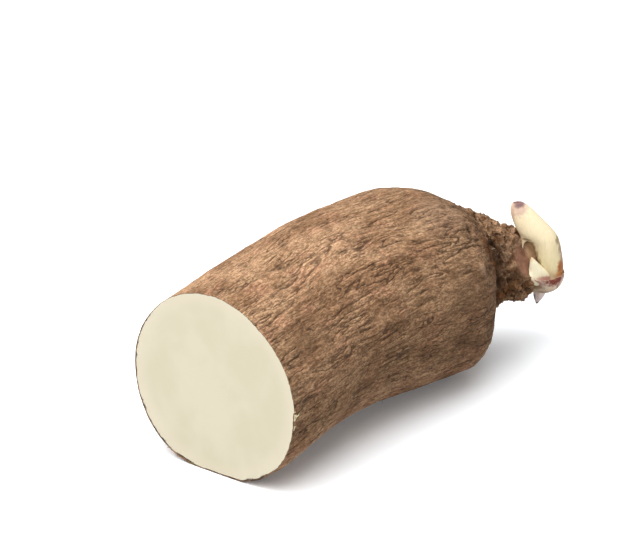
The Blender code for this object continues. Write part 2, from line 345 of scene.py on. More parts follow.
scaled.operation = "SCALE"
relief.links.new(facing, scaled.inputs[0])
relief.links.new(height, scaled.inputs["Scale"])
relief.links.new(scaled.outputs[0], raised.inputs["Offset"])
relief.links.new(start.outputs[0], raised.inputs["Geometry"])
relief.links.new(raised.outputs[0], end.inputs[0])

rim = [v.index for v in tuber.data.vertices if v.co.x < CUT_X + 1e-5]
only(tuber)
shaper = tuber.modifiers.new("Bark relief", "NODES")
shaper.node_group = relief
bpy.ops.object.modifier_apply(modifier=shaper.name)
for vertex in tuber.data.vertices:
    vertex.co.z = max(vertex.co.z, 0.0)
    vertex.co.x = max(vertex.co.x, CUT_X + 0.2 * MM)
for k in rim:
    tuber.data.vertices[k].co.x = CUT_X

# The cut face: from the rim inwards an uneven line of peel, and then smooth flesh.
RINGS = (0.984, 0.978, 0.955, 0.92, 0.87, 0.81, 0.74, 0.66, 0.58, 0.50, 0.42, 0.34, 0.26, 0.18, 0.10)
PEEL = 0.55  # mm
THICKER_PEEL = (  # direction from the middle, how far it fades and is full (degrees), and extra (mm)
    (-30, 70, 20, 0.5), (-68, 9, 2, 0.9), (-118, 28, 6, 0.6),
)
bpy.ops.object.mode_set(mode="EDIT")
select_where(tuber, lambda edge: edge.is_boundary, "EDGE")
before = 1.0
for ring in RINGS:
    bpy.ops.mesh.extrude_edges_move()
    share, before = ring / before, ring
    bpy.ops.transform.resize(value=(1, share, share), center_override=CUT_MIDDLE)
bpy.ops.mesh.edge_face_add()
bpy.ops.mesh.select_all(action="SELECT")
bpy.ops.mesh.normals_make_consistent(inside=False)
bpy.ops.object.mode_set(mode="OBJECT")
rim_set = set(rim)
for edge in tuber.data.edges:
    inner = [k for k in edge.vertices if k not in rim_set]
    inner = [k for k in inner if tuber.data.vertices[k].co.x < CUT_X + 1e-5]
    outer = [k for k in edge.vertices if k in rim_set]
    if inner and outer:
        start = tuber.data.vertices[outer[0]].co
        inwards = CUT_MIDDLE - start
        angle = math.degrees(math.atan2(-inwards.z, -inwards.y))
        thick = PEEL + 0.4 * noise.noise(start * 180) + 0.35 * noise.noise(start * 700)
        for towards, fades, full, extra in THICKER_PEEL:
            thick += extra * ramped(-abs(angle - towards), -fades, -full)
        thick -= 0.3 * ramped(angle, 20, 90)
        tuber.data.vertices[inner[0]].co = start + inwards.normalized() * max(thick, 0.15) * MM


def finish(name):
    """A new material, with its node tree and its shader."""
    material = bpy.data.materials.new(name)
    material.use_nodes = True
    return material, material.node_tree, material.node_tree.nodes["Principled BSDF"]


def object_place(tree):
    """Each place on the piece, in metres."""
    return tree.nodes.new("ShaderNodeTexCoord").outputs["Object"]


def tint(tree, share, first, last, kind="MIX"):
    """A colour that goes from first to last."""
    made = tree.nodes.new("ShaderNodeMix")
    made.data_type = "RGBA"
    made.blend_type = kind
    for target, value in ((made.inputs[0], share), (made.inputs[6], first), (made.inputs[7], last)):
        wire(tree, target, value)
    return made.outputs[2]


def washed(tree, colour, share, first, last):
    """A colour multiplied by a wash that goes from first to last."""
    return tint(tree, 1.0, colour, tint(tree, share, first, last), "MULTIPLY")


def held(tree, name, out="Fac"):
    """A value that keep() stored, for a material."""
    made = tree.nodes.new("ShaderNodeAttribute")
    made.attribute_name = name
    return made.outputs[out]


def roughen(tree, shader, height_mm):
    """Bumps too fine for the mesh, by their height."""
    bump = tree.nodes.new("ShaderNodeBump")
    bump.inputs["Strength"].default_value = 1.0
    bump.inputs["Distance"].default_value = MM
    tree.links.new(height_mm, bump.inputs["Height"])
    tree.links.new(bump.outputs["Normal"], shader.inputs["Normal"])


# A stain is a soft-edged, ragged spot at a place in millimetres. Bark, peel and shoots carry some.
STAIN_INPUTS = (
    ("Way", "NodeSocketVector"), ("Middle", "NodeSocketVector"),
    ("Reach", "NodeSocketVector"), ("Ragged", "NodeSocketFloat"),
)
stain_group = bpy.data.node_groups.new("Stain", "ShaderNodeTree")
for name, kind in STAIN_INPUTS:
    stain_group.interface.new_socket(name, in_out="INPUT", socket_type=kind)
stain_group.interface.new_socket("Mask", in_out="OUTPUT", socket_type="NodeSocketFloat")
start, end = stain_group.nodes.new("NodeGroupInput"), stain_group.nodes.new("NodeGroupOutput")
over = reckon_place(stain_group, "SUBTRACT", start.outputs["Way"], start.outputs["Middle"])
over = reckon_place(stain_group, "DIVIDE", over, start.outputs["Reach"])
reach = reckon_place(stain_group, "LENGTH", over)
wander = reckon(stain_group, "SUBTRACT", mottle(stain_group, start.outputs["Way"], 0.55, 3, 0.6), 0.5)
ragged = reckon(stain_group, "MULTIPLY_ADD", wander, start.outputs["Ragged"], reach)
stain_group.links.new(between(stain_group, ragged, 1.30, 0.50), end.inputs["Mask"])


def stain(tree, way, middle, reach, ragged):
    """Where one stain lies, as a mask."""
    made = tree.nodes.new("ShaderNodeGroup")
    made.node_tree = stain_group
    for key, value in (("Way", way), ("Middle", middle), ("Reach", reach), ("Ragged", ragged)):
        wire(tree, made.inputs[key], value)
    return made.outputs["Mask"]


def stained(tree, colour, way, stains):
    """Lays stains on a colour, each with its middle, reach, raggedness, strength and colour."""
    for middle, reach, ragged, share, other in stains:
        mask = reckon(tree, "MULTIPLY", stain(tree, way, middle, reach, ragged), share)
        colour = tint(tree, mask, colour, other)
    return colour


bark, tree, shader = finish("Yam bark")
way, crown, scar = held(tree, "bark_way", "Vector"), held(tree, "crown"), held(tree, "scar")
place = object_place(tree)
height, dark = bark_figure(tree, way, place, crown)
wide_way = reckon_place(tree, "MULTIPLY", way, (1, 1, 0.55))
fibre_way = reckon_place(tree, "MULTIPLY", way, (1, 1, 0.24))
patch = mottle(tree, wide_way, 60, 3, 0.55, 0.11)
colour = tint(tree, between(tree, patch, 0.36, 0.62), (0.160, 0.090, 0.048), (0.252, 0.156, 0.090))
ruddy = mottle(tree, wide_way, 105, 3, 0.6, 0.77)
colour = tint(tree, between(tree, ruddy, 0.50, 0.70, 0, 0.55), colour, (0.245, 0.130, 0.078))
olive = mottle(tree, wide_way, 130, 3, 0.6, 1.37)
colour = tint(tree, between(tree, olive, 0.54, 0.70, 0, 0.4), colour, (0.140, 0.092, 0.050))
streak = mottle(tree, fibre_way, 620, 3, 0.6, 0.2)
streak = between(tree, streak, 0.36, 0.66)
colour = washed(tree, colour, streak, (0.78, 0.75, 0.72), (1.20, 1.21, 1.22))
speck = mottle(tree, reckon_place(tree, "MULTIPLY", way, (1, 1, 0.42)), 1250, 2, 0.6, 1.9)
speck = between(tree, speck, 0.40, 0.62)
colour = washed(tree, colour, speck, (0.72, 0.68, 0.64), (1.28, 1.29, 1.30))
axes = tree.nodes.new("ShaderNodeSeparateXYZ")
tree.links.new(place, axes.inputs[0])
dust = between(tree, axes.outputs["X"], -0.06, 0.06)
colour = washed(tree, colour, dust, (1.42, 1.40, 1.38), (1.02, 0.98, 0.94))
# Painted light and shade: the bark is darker low down and paler on top, as it would be lit from above.
painted_light_by_height = between(tree, axes.outputs["Z"], 0.030, 0.100)
colour = washed(tree, colour, painted_light_by_height, (0.80, 0.78, 0.745), (1.13, 1.14, 1.15))
# Painted light: the bark next to the floor is lightened up to two and a half times, standing in for light
# bounced off the floor.
painted_floor_bounce = between(tree, axes.outputs["Z"], 0.038, 0.012)
colour = washed(tree, colour, painted_floor_bounce, (1.0, 1.0, 1.0), (2.20, 2.34, 2.62))
fleck = mottle(tree, wide_way, 520, 1, 0.5, 2.1)
colour = tint(tree, between(tree, fleck, 0.66, 0.76, 0, 0.6), colour, (0.36, 0.26, 0.165))
crown_patch = mottle(tree, place, 210, 4, 0.65, 0.9)
crown_patch = between(tree, crown_patch, 0.38, 0.62)
crown_colour = tint(tree, crown_patch, (0.225, 0.110, 0.048), (0.560, 0.338, 0.196))
colour = tint(tree, crown, colour, crown_colour)
# Painted highlight, partly: the knobs are paled by their mark, over their own paler cork.
shade_and_tone = held(tree, "shade_and_tone")
colour = tint(tree, between(tree, shade_and_tone, 0.1, 1.0, 0.0, 0.6), colour, (0.42, 0.28, 0.185))
spot = reckon_place(tree, "DIVIDE", place, (MM, MM, MM))
colour = stained(tree, colour, spot, (
    ((81.0, -38.0, 42.5), (7.0, 7.0, 5.5), 1.0, 0.75, (0.260, 0.092, 0.024)),
    # Painted shade, partly: this and the next stain darken the groove between the shoulder and the crown,
    # over its own dark reddish-brown bark.
    ((76.0, -38.5, 50.0), (5.0, 7.0, 9.0), 1.2, 0.45, (0.085, 0.040, 0.018)),
    ((77.5, -35.5, 62.0), (8.0, 8.0, 14.0), 1.4, 0.66, (0.085, 0.036, 0.013)),
    ((93.0, -40.0, 50.0), (9.0, 8.0, 5.5), 1.4, 0.50, (0.110, 0.048, 0.018)),
    ((-98.0, -45.0, 76.0), (16.0, 12.0, 14.0), 1.0, 0.22, (0.130, 0.072, 0.038)),
    ((36.0, -28.0, 98.0), (20.0, 18.0, 10.0), 1.0, 0.22, (0.430, 0.290, 0.195)),
    ((90.0, -40.0, 42.0), (9.0, 7.0, 5.0), 1.2, 0.50, (0.260, 0.112, 0.036)),
    # Painted shade, partly: a dark red-brown stain in the deep crevice at the foot of the crown, over its
    # own reddish bark.
    ((62.0, -44.0, 72.0), (9.0, 8.0, 16.0), 1.2, 0.86, (0.128, 0.042, 0.007)),
    ((85.5, -40.5, 45.0), (6.0, 7.0, 5.5), 1.2, 0.40, (0.290, 0.138, 0.056)),
    ((26.0, -55.0, 62.0), (15.0, 9.0, 18.0), 1.0, 0.22, (0.120, 0.060, 0.030)),
))
# The furrows, the crown's pits and the broken groove round the crown are darkened to near black: partly the
# cork's own darker colour there, partly painted shade in these hollows.
dark = reckon(tree, "MULTIPLY", dark, between(tree, crown, 0, 1, 0.70, 0.90))
dark = reckon(tree, "MAXIMUM", dark, between(tree, shade_and_tone, -0.1, -0.9, 0.0, 0.9))
colour = tint(tree, dark, colour, (0.026, 0.011, 0.005))
scar_patch = between(tree, mottle(tree, place, 220), 0.35, 0.65)
scar_colour = tint(tree, scar_patch, (0.235, 0.115, 0.072), (0.345, 0.175, 0.110))
scar_colour = stained(tree, scar_colour, spot, (
    # Painted light: a pale tan patch on the scar's upper right, standing in for light bounced from the
    # shoot's cream sheath.
    ((109.5, -37.5, 59.0), (5.0, 6.0, 8.0), 0.8, 0.90, (0.760, 0.510, 0.300)),
))
colour = tint(tree, scar, colour, scar_colour)
tree.links.new(colour, shader.inputs["Base Color"])
shader.inputs["Roughness"].default_value = 0.82
shader.inputs["Specular IOR Level"].default_value = 0.15
grain = mottle(tree, fibre_way, 1100, 4, 0.8, 0.6)
bumps = reckon(tree, "MULTIPLY_ADD", grain, 0.45, reckon(tree, "MULTIPLY", height, 1.2))
roughen(tree, shader, reckon(tree, "MULTIPLY", bumps, between(tree, scar, 0, 1, 1.0, 0.12)))

flesh, tree, shader = finish("Yam flesh")
place = object_place(tree)
cloud = mottle(tree, place, 45, 3)
colour = tint(tree, between(tree, cloud, 0.35, 0.65), (0.536, 0.495, 0.364), (0.566, 0.524, 0.399))
from_middle = reckon_place(tree, "SUBTRACT", place, CUT_MIDDLE)
from_middle = reckon_place(tree, "DIVIDE", from_middle, (1, GIRTH, GIRTH * 0.92))
near_rim = between(tree, reckon_place(tree, "LENGTH", from_middle), 0.80, 1.0, 0.0, 0.50)
colour = tint(tree, near_rim, colour, (0.635, 0.570, 0.450))
tree.links.new(colour, shader.inputs["Base Color"])
shader.inputs["Roughness"].default_value = 0.55
shader.inputs["Specular IOR Level"].default_value = 0.3
roughen(tree, shader, reckon(tree, "MULTIPLY", mottle(tree, place, 900, 3, 0.6), 0.05))

peel, tree, shader = finish("Cut peel")
place = object_place(tree)
peel_patch = mottle(tree, place, 260, 3, 0.6)
colour = tint(tree, between(tree, peel_patch, 0.4, 0.6), (0.085, 0.045, 0.022), (0.210, 0.120, 0.066))
colour = stained(tree, colour, reckon_place(tree, "DIVIDE", place, (MM, MM, MM)), (
    ((-124.0, 18.0, 3.0), (4.0, 8.0, 3.5), 1.0, 0.85, (0.400, 0.205, 0.115)),
    ((-124.0, 9.5, 0.8), (4.0, 3.0, 2.0), 1.0, 0.90, (0.260, 0.190, 0.070)),
))
tree.links.new(colour, shader.inputs["Base Color"])
shader.inputs["Roughness"].default_value = 0.75

for material in (bark, flesh, peel):
    tuber.data.materials.append(material)
for face in tuber.data.polygons:
    face.use_smooth = True
    if all(abs(tuber.data.vertices[k].co.x - CUT_X) < 1e-5 for k in face.vertices):
        face.material_index = 2 if any(k in rim_set for k in face.vertices) else 1
only(tuber)
bpy.ops.object.shade_smooth_by_angle(angle=math.radians(60))
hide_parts("yam_tuber")
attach(tuber, "root")


# The root hairs. Dry ends of fine roots stick out of the bark all over, more of them round the
# crown, where a few long pale ones curl. The knife pulled out a tuft of peel under the cut face
# and a pale fringe at its right side. Each hair is one tapered, bent stalk, copied.
HAIR_RADIUS = 0.11 * MM
HAIR_ROOT = 0.3 * MM
HAIR_JOINTS = (  # move (mm), and width against the joint before
    ((0, 0, 0.7), 0.9), ((0.12, 0, 0.7), 0.8), ((0.30, 0, 0.55), 0.7), ((0.45, 0, 0.35), 0.3),
)
bpy.ops.object.select_all(action="DESELECT")
bpy.ops.mesh.primitive_circle_add(vertices=5, radius=HAIR_RADIUS, fill_type="NGON")
hair = bpy.context.active_object
bpy.ops.object.mode_set(mode="EDIT")
bpy.ops.mesh.select_all(action="SELECT")
for move, share in HAIR_JOINTS:
    bpy.ops.mesh.extrude_region_move(TRANSFORM_OT_translate={"value": Vector(move) * MM})
    bpy.ops.transform.resize(value=(share, share, share))
select_where(hair, lambda edge: edge.is_boundary, "EDGE")
bpy.ops.mesh.edge_face_add()
bpy.ops.mesh.select_all(action="SELECT")
bpy.ops.mesh.normals_make_consistent(inside=False)
bpy.ops.object.mode_set(mode="OBJECT")


def hairs_at(name, places, material):
    """Copies of the hair, each with its place, direction, length and thickness, joined in one piece."""
    copies = []
    for spot, towards, length, thick in places:
        move = Matrix.Translation(spot - towards * HAIR_ROOT)
        turn = towards.to_track_quat("Z", "Y").to_matrix().to_4x4()
        copy = bpy.data.objects.new(name, hair.data.copy())
        copy.data.transform(move @ turn @ Matrix.Diagonal((thick, thick, length, 1)))
        bpy.context.scene.collection.objects.link(copy)
        copies.append(copy)
    bpy.ops.object.select_all(action="DESELECT")
    for copy in copies:
        copy.select_set(True)
    bpy.context.view_layer.objects.active = copies[0]
    bpy.ops.object.join()
    copies[0].data.materials.append(material)
    for vertex in copies[0].data.vertices:
        vertex.co = [min(max(c, low), high) for c, low, high in zip(vertex.co, *cad_box)]
    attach(copies[0], "root")


def fibre_finish(name, grain, detail, dark, pale, rough):
    """A dry fibre's material, which wanders between two colours."""
    material, tree, shader = finish(name)
    wander = between(tree, mottle(tree, object_place(tree), grain, detail), 0.35, 0.65)
    tree.links.new(tint(tree, wander, dark, pale), shader.inputs["Base Color"])
    shader.inputs["Roughness"].default_value = rough
    return material


HAIRS = 300
HAIR_CLEAR, HAIR_TOP, HAIR_SIDE = 0.004, 0.1005, 0.0555
chance = random.Random(11)
places = []
while len(places) < HAIRS:
    k = chance.randrange(len(crowns))
    spot, facing = tuber.data.vertices[k].co.copy(), tuber.data.vertices[k].normal.copy()
    lie = Vector((chance.uniform(-1, 1), chance.uniform(-1, 1), chance.uniform(-1, 1)))
    lean = facing * chance.uniform(0.3, 0.9)
    towards = (lean + (lie - facing * lie.dot(facing)).normalized()).normalized()
    length = chance.uniform(0.5, 1.4)
    # a hair keeps off the cut and the floor, and inside the object's size
    inside = spot.x > CUT_X + HAIR_CLEAR and HAIR_CLEAR < spot.z < HAIR_TOP and abs(spot.y) < HAIR_SIDE
    if inside and scars[k] == 0 and (crowns[k] > 0.3 or chance.random() < 0.5):
        places.append((spot, towards, length, chance.uniform(0.7, 1.2)))
dry = fibre_finish("Root hair", 300, 1, (0.140, 0.080, 0.045), (0.420, 0.300, 0.190), 0.8)
hairs_at("root_hairs", places, dry)

PALE_FIBRES = (  # place (mm), direction, and length and thickness as shares of the plain hair's
    ((96.6, -24.8, 73.5), (2.9, -2.0, 2.6), 2.3, 2.6), ((79.3, -33.5, 66.6), (1.4, -1.5, -2.4), 1.3, 2.0),
    ((80.7, -35.0, 64.2), (2.5, -0.5, 1.4), 1.1, 2.0), ((87.0, -37.5, 60.0), (1.0, -1.5, 1.5), 0.9, 1.6),
    ((72.0, -37.0, 70.0), (-1.0, -1.5, 1.0), 0.9, 1.6), ((90.0, -35.0, 66.0), (1.5, -1.0, 2.0), 0.8, 1.5),
)
places = [
    (Vector(spot) * MM, Vector(towards).normalized(), length, thick)
    for spot, towards, length, thick in PALE_FIBRES
]
pale_fibre = fibre_finish("Pale fibre", 900, 1, (0.520, 0.390, 0.270), (0.680, 0.560, 0.430), 0.7)
hairs_at("pale_fibres", places, pale_fibre)

TUFT_FROM, TUFT_TO, TUFT_SHARE = -79, -55, 0.55  # degrees round the cut's middle, and how dense
places = []
for k in rim:
    start = tuber.data.vertices[k].co
    angle = math.degrees(math.atan2(start.z - CUT_MIDDLE.z, start.y - CUT_MIDDLE.y))
    if TUFT_FROM < angle < TUFT_TO and chance.random() < TUFT_SHARE:
        towards = Vector((chance.uniform(0.1, 0.7), 0.9, chance.uniform(-0.35, 0.1))).normalized()
        spot = start + Vector((0.4, 0, 0.4)) * MM
        places.append((spot, towards, chance.uniform(0.4, 0.9), chance.uniform(2.0, 3.6)))
tuft = fibre_finish("Tuft of peel", 500, 2, (0.240, 0.120, 0.050), (0.480, 0.290, 0.140), 0.8)
hairs_at("peel_tuft", places, tuft)

FRINGE = (  # height on the rim (mm), and length and thickness as shares of the plain hair's
    (45.6, 1.9, 4.2), (45.0, 1.5, 4.6), (44.4, 1.2, 4.4), (46.4, 1.1, 3.6), (43.6, 0.8, 3.8),
    (48.2, 0.6, 3.0), (40.0, 1.0, 3.2), (39.3, 0.7, 3.2), (38.4, 0.5, 2.6),
)
right_side = [v.co.copy() for v in (tuber.data.vertices[k] for k in rim) if v.co.y < CUT_MIDDLE.y]
places = []
for height_mm, length, thick in FRINGE:
    spot = min(right_side, key=lambda place: abs(place.z - height_mm * MM))
    towards = Vector((0.9, -0.42, chance.uniform(-0.15, 0.35))).normalized()
    places.append((spot + Vector((0.2, -0.1, 0)) * MM, towards, length, thick))
fringe = fibre_finish("Cut fringe", 700, 2, (0.500, 0.390, 0.220), (0.700, 0.600, 0.400), 0.7)
hairs_at("cut_fringe", places, fringe)
bpy.data.objects.remove(hair)


# The shoot. A young stem in its smooth cream sheath, grown out of the foot of the crown, turned
# upwards and flattened to a hood with a small mouth at its tip. A thin spur of the sheath hangs
# down at its left edge. Places are in millimetres out from, across and above the crown.
CROWN_FRAME = Matrix((
    (0.6211, 0.7837, 0, 0.10375),
    (-0.7837, 0.6211, 0, -0.0221),
    (0, 0, 1, 0.050),
    (0, 0, 0, 1),
))
SHOOT = (  # out, across, up, half the width, half the depth (mm), and the way it grows (degrees)
    (9.0, -2.6, -9.8, 4.2, 4.2, 0), (14.0, -3.6, -10.4, 4.8, 5.2, 8), (19.0, -4.8, -10.6, 5.0, 5.8, 19),
    (23.5, -5.8, -10.0, 5.2, 6.3, 30), (27.0, -6.6, -8.3, 5.4, 6.8, 46), (28.8, -7.2, -5.2, 5.6, 7.1, 62),
    (28.0, -7.6, -2.0, 6.6, 7.2, 76), (27.4, -7.9, 1.5, 7.1, 7.3, 86), (26.5, -8.0, 5.1, 7.3, 7.3, 93),
    (25.8, -8.0, 8.6, 7.3, 7.3, 98), (24.9, -8.0, 12.2, 7.5, 7.3, 102), (23.9, -8.0, 15.3, 7.6, 7.3, 104),
    (21.6, -8.0, 18.1, 8.2, 7.2, 105), (18.1, -8.0, 20.9, 9.0, 7.0, 106), (15.7, -8.0, 24.0, 8.8, 6.6, 104),
    (13.4, -8.0, 27.3, 8.1, 6.0, 101), (11.3, -8.0, 30.6, 7.2, 5.2, 99), (9.6, -8.0, 33.5, 6.3, 4.2, 97),
    (8.3, -8.0, 36.0, 4.9, 3.1, 96), (7.4, -8.0, 38.0, 3.1, 2.1, 94),
)


def ring_places(row, count):
    """The places round one ring of a form that grows along a curve."""
    out, across, up, wide, deep, way = row
    way = math.radians(way)
    sideways = Vector((math.sin(way), 0, -math.cos(way)))
    places = []
    for k in range(count):
        turn = 2 * math.pi * k / count
        round_it = sideways * wide * math.cos(turn) + Vector((0, deep * math.sin(turn), 0))
        places.append((Vector((out, across, up)) + round_it) * MM)
    return places


def grown(name, rows, count):
    """A closed form grown ring by ring, left in edit mode with its last ring selected."""
    bpy.ops.object.select_all(action="DESELECT")
    bpy.ops.mesh.primitive_circle_add(vertices=count, radius=0.004)
    piece = bpy.context.active_object
    piece.name = piece.data.name = name
    bpy.ops.object.mode_set(mode="EDIT")
    bpy.ops.mesh.select_all(action="SELECT")
    bm = bmesh.from_edit_mesh(piece.data)
    for vertex, place in zip(sorted(bm.verts, key=lambda v: v.index), ring_places(rows[0], count)):
        vertex.co = place
    bmesh.update_edit_mesh(piece.data)
    for row, following in zip(rows, rows[1:]):
        bpy.ops.mesh.extrude_edges_move()
        bm = bmesh.from_edit_mesh(piece.data)
        ring = [v for v in bm.verts if v.select]
        for old, new in zip(ring_places(row, count), ring_places(following, count)):
            vertex = min(ring, key=lambda v: (v.co - old).length)
            ring.remove(vertex)
            vertex.co = new
        bmesh.update_edit_mesh(piece.data)
    return piece


def closed(piece):
    """Caps what is open and turns every face outwards."""
    bpy.ops.mesh.edge_face_add()
    select_where(piece, lambda edge: edge.is_boundary, "EDGE")
    bpy.ops.mesh.edge_face_add()
    bpy.ops.mesh.select_all(action="SELECT")
    bpy.ops.mesh.normals_make_consistent(inside=False)


def settled(piece, material):
    """Keeps each place of growth for the stains, sets the piece on the crown and gives it its skin."""
    spots = [c / MM for vertex in piece.data.vertices for c in vertex.co]
    keep(piece, "growth", "FLOAT_VECTOR", spots)
    piece.data.transform(CROWN_FRAME)
    piece.data.materials.append(material)
    for face in piece.data.polygons:
        face.use_smooth = True


MOUTH = ((0.74, 0.2), (0.72, -1.4), (0.6, -1.6))  # width against the ring before, and move up (mm)
SPUR_ROOT = Vector((10.9, -8.6, 17.4)) * MM
SPUR_REACH = 2.6 * MM
SPUR = (((-1.0, -0.7, -2.0), 0.38), ((-0.2, -0.4, -3.0), 0.66), ((0.6, -0.2, -3.0), 0.5))
shoot = grown("shoot", SHOOT, 16)
for share, drop in MOUTH:
    bpy.ops.mesh.extrude_edges_move()
    bpy.ops.transform.resize(value=(share, share, share))
    bpy.ops.transform.translate(value=(0, 0, drop * MM))
closed(shoot)
select_where(shoot, lambda face: (
    (face.calc_center_median() - SPUR_ROOT).length < SPUR_REACH and len(face.verts) == 4
))
for move, share in SPUR:
    bpy.ops.mesh.extrude_region_move(TRANSFORM_OT_translate={"value": Vector(move) * MM})
    bpy.ops.transform.resize(value=(share, share, share))
bpy.ops.object.mode_set(mode="OBJECT")
smooth(shoot, 3)


def young_skin(name, low, high, low_up, high_up, stains, rough=0.42):
    """A smooth, satin skin with faint veins along it, low and high being its colours at two heights."""
    material, tree, shader = finish(name)
    way = held(tree, "growth", "Vector")
    parts = tree.nodes.new("ShaderNodeSeparateXYZ")
    tree.links.new(way, parts.inputs[0])
    colour = tint(tree, between(tree, parts.outputs["Z"], low_up, high_up), low, high)
    veins = mottle(tree, reckon_place(tree, "MULTIPLY", way, (1.0, 1.0, 0.14)), 1.3, 3, 0.6)
    colour = washed(tree, colour, between(tree, veins, 0.35, 0.65), (0.96, 0.955, 0.93), (1.03, 1.03, 1.03))
    tree.links.new(stained(tree, colour, way, stains), shader.inputs["Base Color"])
    shader.inputs["Roughness"].default_value = rough
    shader.inputs["Specular IOR Level"].default_value = 0.35
    roughen(tree, shader, reckon(tree, "MULTIPLY", veins, 0.22))
    return material


sheath = young_skin("Shoot sheath", (0.80, 0.68, 0.41), (0.87, 0.74, 0.50), 2, 26, (
    # Painted shade: a faint grey-green wash on the right middle of the sheath, where it turns from the
    # light.
    ((28.5, -8, 10), (3.0, 9, 13), 0.5, 0.20, (0.66, 0.58, 0.34)),
    # Painted shade: the next six olive-brown strokes run along the inner edge of the arch, on the flank that
    # turns away from the light.
    ((12.6, -9, 17.2), (2.8, 9, 0.9), 0.4, 0.80, (0.25, 0.17, 0.06)),
    ((15.8, -9, 14.8), (1.4, 9, 1.5), 0.4, 0.80, (0.28, 0.19, 0.07)),
    ((17.2, -9, 11.6), (0.8, 9, 2.4), 0.4, 0.75, (0.33, 0.24, 0.09)),
    ((18.9, -9, 7.6), (0.8, 9, 3.2), 0.4, 0.70, (0.38, 0.28, 0.11)),
    ((20.6, -9, 3.4), (0.8, 9, 3.2), 0.4, 0.70, (0.40, 0.30, 0.13)),
    ((22.2, -9, 0.0), (0.8, 9, 2.4), 0.4, 0.70, (0.42, 0.32, 0.14)),
    ((33.2, -10, 8.5), (1.8, 9, 10), 0.9, 1.00, (0.50, 0.34, 0.22)),
    ((30.0, -12, 17.2), (1.3, 4, 2.8), 1.2, 0.75, (0.27, 0.17, 0.080)),
    ((31.6, -12, 12.4), (1.2, 4, 3.4), 1.2, 0.75, (0.33, 0.20, 0.100)),
    ((32.0, -11, 0.2), (2.3, 7, 5.4), 0.9, 1.00, (0.40, 0.115, 0.012)),
    ((31.0, -10, -2.8), (2.6, 6, 3.0), 0.9, 0.90, (0.85, 0.45, 0.18)),
    ((4.6, -9, 30), (1.5, 4, 12), 0.7, 0.65, (0.66, 0.44, 0.32)),
    ((9.0, -10, 16), (2.2, 5, 7), 0.7, 0.50, (0.74, 0.50, 0.34)),
    ((8.6, -9, 35.2), (4.6, 6.0, 6.0), 1.0, 0.68, (0.50, 0.30, 0.26)),
    ((8.2, -8, 37.4), (3.4, 6.0, 2.4), 1.0, 0.90, (0.17, 0.075, 0.085)),
))
settled(shoot, sheath)
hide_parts("main_shoot")
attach(shoot, "root")


# The torn sheath. The first sheath that the shoot burst out of stays round its foot as a thin,
# open cup. Its lip is torn and stained dark red, and its skin below is cream, pink at the right.
SHEATH_WALL = 0.5 * MM
TORN_SHEATH = (  # rows as for the shoot, from the lip down
    (24.9, -9.4, -3.6, 9.8, 10.0, 98), (24.8, -8.9, -6.0, 9.6, 9.7, 86), (24.2, -8.2, -8.5, 8.5, 8.9, 66),
    (22.4, -6.5, -10.3, 6.6, 7.6, 35), (19.0, -4.8, -10.7, 5.5, 6.4, 19), (14.0, -3.6, -10.6, 5.2, 5.7, 8),
    (10.0, -2.8, -10.0, 4.6, 4.8, 0),
)
torn = grown("torn_sheath", TORN_SHEATH[::-1], 32)
chance = random.Random(5)
bm = bmesh.from_edit_mesh(torn.data)
for vertex in bm.verts:
    if vertex.select:
        rag = 1.6 * noise.noise(vertex.co * 260) + 0.7 * chance.uniform(-1, 1)
        vertex.co += Vector((0.2 * rag, 0, rag + 0.5)) * MM
bmesh.update_edit_mesh(torn.data)
bpy.ops.mesh.select_all(action="SELECT")
bpy.ops.mesh.normals_make_consistent(inside=False)
bpy.ops.object.mode_set(mode="OBJECT")
only(torn)
wall = torn.modifiers.new("Wall", "SOLIDIFY")
wall.thickness, wall.offset = SHEATH_WALL, 1.0
bpy.ops.object.modifier_apply(modifier=wall.name)
smooth(torn, 2)
settled(torn, young_skin("Torn sheath", (0.60, 0.46, 0.32), (0.76, 0.60, 0.46), -14, -8, (
    ((17.0, -14, -10.0), (5.5, 9, 3.0), 1.0, 0.90, (0.27, 0.16, 0.09)),
    ((18.5, -13, -6.6), (6.0, 9, 2.2), 0.9, 0.90, (0.72, 0.40, 0.34)),
    # Painted shade: a dark band at the cup's lower edge, in the narrow gap over the side bud.
    ((25.0, -14, -14.5), (9.0, 8, 1.6), 1.0, 0.75, (0.20, 0.13, 0.06)),
    ((27.6, -13, -4.9), (7.8, 14, 3.4), 1.7, 1.00, (0.20, 0.032, 0.016)),
    ((30.5, -13, -9.0), (0.7, 5, 3.0), 0.8, 0.70, (0.22, 0.080, 0.040)),
    ((34.0, -10, -7.6), (2.7, 9, 4.2), 0.7, 0.95, (0.95, 0.74, 0.66)),
), 0.6))
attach(torn, "root")


# The scale. A thick white leaf scale at the left of the shoot's foot, pressed against it, with a
# faintly buff tip and a rosy foot, which flares over the crown at the left.
FLARE_UP, FLARE_HALF, FLARE_FROM = -4.4, 3.2, 17.5  # mm
FLARE = 1.25
SCALE = (  # rows as for the shoot
    (20.8, -9.4, -10.6, 4.0, 2.2, 88), (20.0, -11.2, -9.0, 6.6, 2.8, 90), (19.5, -12.2, -7.0, 8.0, 3.1, 93),
    (19.4, -12.6, -4.8, 8.3, 3.1, 98), (19.4, -12.5, -2.4, 6.2, 2.9, 102), (18.8, -12.6, -0.2, 4.7, 2.6, 99),
    (18.0, -12.8, 2.0, 3.4, 2.2, 96), (17.1, -13.0, 4.3, 2.3, 1.7, 92), (16.4, -13.2, 6.2, 1.2, 1.0, 88),
    (15.9, -13.3, 7.4, 0.4, 0.3, 84),
)
scale = grown("bud_scale_skin", SCALE, 16)
bm = bmesh.from_edit_mesh(scale.data)
for vertex in bm.verts:
    flare = max(0.0, 1 - abs(vertex.co.z / MM - FLARE_UP) / FLARE_HALF)
    vertex.co.y -= FLARE * flare * max(0.0, FLARE_FROM * MM - vertex.co.x)
bmesh.update_edit_mesh(scale.data)
closed(scale)
bpy.ops.object.mode_set(mode="OBJECT")
smooth(scale, 2)
